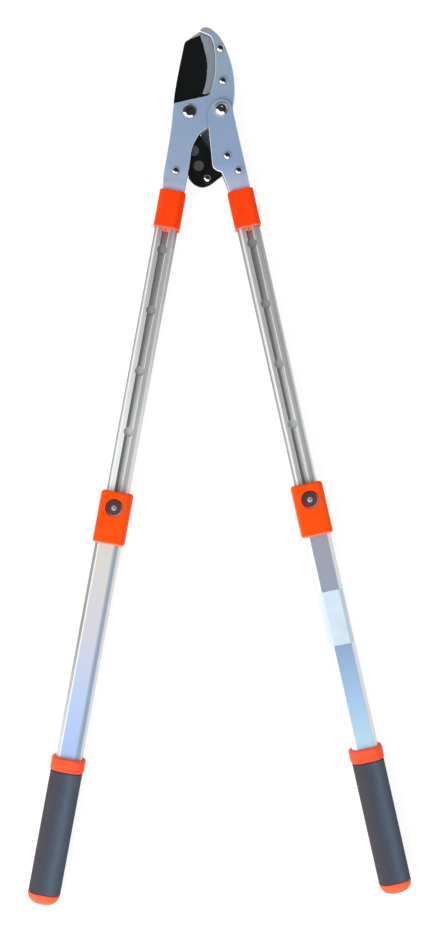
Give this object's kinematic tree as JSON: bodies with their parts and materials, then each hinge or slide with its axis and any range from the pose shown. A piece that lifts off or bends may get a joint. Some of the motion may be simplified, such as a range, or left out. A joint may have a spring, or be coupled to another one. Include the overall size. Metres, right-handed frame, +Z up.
{
  "type": "telescopic lopper",
  "caption": "Long-handled anvil lopper with a curved hook jaw, a ground black blade driven by a link, and telescopic tube handles with lock buttons and oval grips.",
  "frame": {"origin": "on the axis of the main pivot, at the end of its bolt, which is level with the surface that the lopper lies on", "axes": "+Y from the main pivot towards the hook's tip, +X to the right seen from the front, +Z up out of the front face, with the lopper lying on its back"},
  "size_m": [0.4299, 0.9854, 0.0325],
  "materials": {
    "plate_paint": "satin blue-grey coat on steel plate",
    "blade_coat": "satin black non-stick coat on hardened steel",
    "link_black": "satin black coat on steel",
    "pad_plastic": "matte dark grey",
    "anvil_metal": "plain machined",
    "chrome": "polished",
    "zinc": "zinc plated, satin",
    "tang_steel": "plain steel, satin",
    "orange_plastic": "satin orange",
    "bright_aluminium": "bright drawn, faint lengthwise grain",
    "satin_aluminium": "satin anodised",
    "black_plastic": "matte",
    "button_plastic": "glossy dark",
    "spring_steel": "drawn wire",
    "grip_foam": "matte, finely ribbed"
  },
  "bodies": {
    "head_frame": {"hook_plate_front": "plate_paint", "hook_plate_back": "plate_paint", "anvil": "anvil_metal", "anvil_upper_screw": "chrome", "anvil_upper_nut": "zinc", "anvil_lower_screw": "chrome", "anvil_lower_nut": "zinc", "blade_pivot_bolt": "chrome", "blade_pivot_nut": "zinc", "main_pivot_bolt": "chrome", "main_pivot_washer": "zinc", "main_pivot_nut": "zinc", "main_pivot_spacer": "zinc", "left_tang": "tang_steel", "left_arm_screw": "chrome", "left_arm_nut": "zinc", "left_sleeve": "orange_plastic", "left_inner_tube": "bright_aluminium", "left_guide_bush": "black_plastic"},
    "blade": {"blade": "blade_coat", "glide_pad_upper": "pad_plastic", "glide_pad_lower": "pad_plastic"},
    "link": {"link_front": "link_black", "link_back": "link_black", "link_end_screw": "chrome", "link_end_nut": "zinc"},
    "right_arm": {"right_arm_plate_front": "plate_paint", "right_arm_plate_back": "plate_paint", "right_tang": "tang_steel", "right_arm_screw": "chrome", "right_arm_nut": "zinc", "link_pivot_screw": "chrome", "link_pivot_nut": "zinc", "link_pivot_bush": "zinc", "right_sleeve": "orange_plastic", "right_inner_tube": "bright_aluminium", "right_guide_bush": "black_plastic"},
    "left_slider": {"left_lock_collar": "orange_plastic", "left_outer_tube": "satin_aluminium", "left_grip_ring": "orange_plastic", "left_grip": "grip_foam", "left_end_cap": "orange_plastic"},
    "left_button": {"left_lock_button": "button_plastic", "left_button_screw": "chrome", "left_button_spring": "spring_steel"},
    "right_slider": {"right_lock_collar": "orange_plastic", "right_outer_tube": "satin_aluminium", "right_grip_ring": "orange_plastic", "right_grip": "grip_foam", "right_end_cap": "orange_plastic"},
    "right_button": {"right_lock_button": "button_plastic", "right_button_screw": "chrome", "right_button_spring": "spring_steel"}
  },
  "joints": [
    {"name": "right_arm_hinge", "type": "hinge", "parent": "head_frame", "child": "right_arm", "pos_m": [0, 0, 0.016], "axis": [0, 0, 1], "range_deg": [0, 60]},
    {"name": "blade_hinge", "type": "hinge", "parent": "head_frame", "child": "blade", "pos_m": [-0.0355, -0.0015, 0.016], "axis": [0, 0, 1], "range_deg": [0, 39.6]},
    {"name": "link_hinge", "type": "hinge", "parent": "right_arm", "child": "link", "pos_m": [0.0067, -0.0521, 0.016], "axis": [0, 0, 1], "range_deg": [-55.8, 0]},
    {"name": "left_telescope", "type": "slide", "parent": "head_frame", "child": "left_slider", "axis": [0.181, 0.9835, 0], "range_m": [0, 0.2935]},
    {"name": "left_button_press", "type": "slide", "parent": "left_slider", "child": "left_button", "axis": [0, 0, -1], "range_m": [0, 0.002], "stiffness_N_per_m": 600, "springref_m": -0.003, "deforming": ["left_button_spring"]},
    {"name": "right_telescope", "type": "slide", "parent": "right_arm", "child": "right_slider", "axis": [-0.2192, 0.9757, 0], "range_m": [0, 0.2935]},
    {"name": "right_button_press", "type": "slide", "parent": "right_slider", "child": "right_button", "axis": [0, 0, -1], "range_m": [0, 0.002], "stiffness_N_per_m": 600, "springref_m": -0.003, "deforming": ["right_button_spring"]}
  ],
  "couplings": [
    {"joint": "blade_hinge", "follows": "right_arm_hinge", "ratio": 0.66},
    {"joint": "link_hinge", "follows": "right_arm_hinge", "ratio": -0.93}
  ]
}
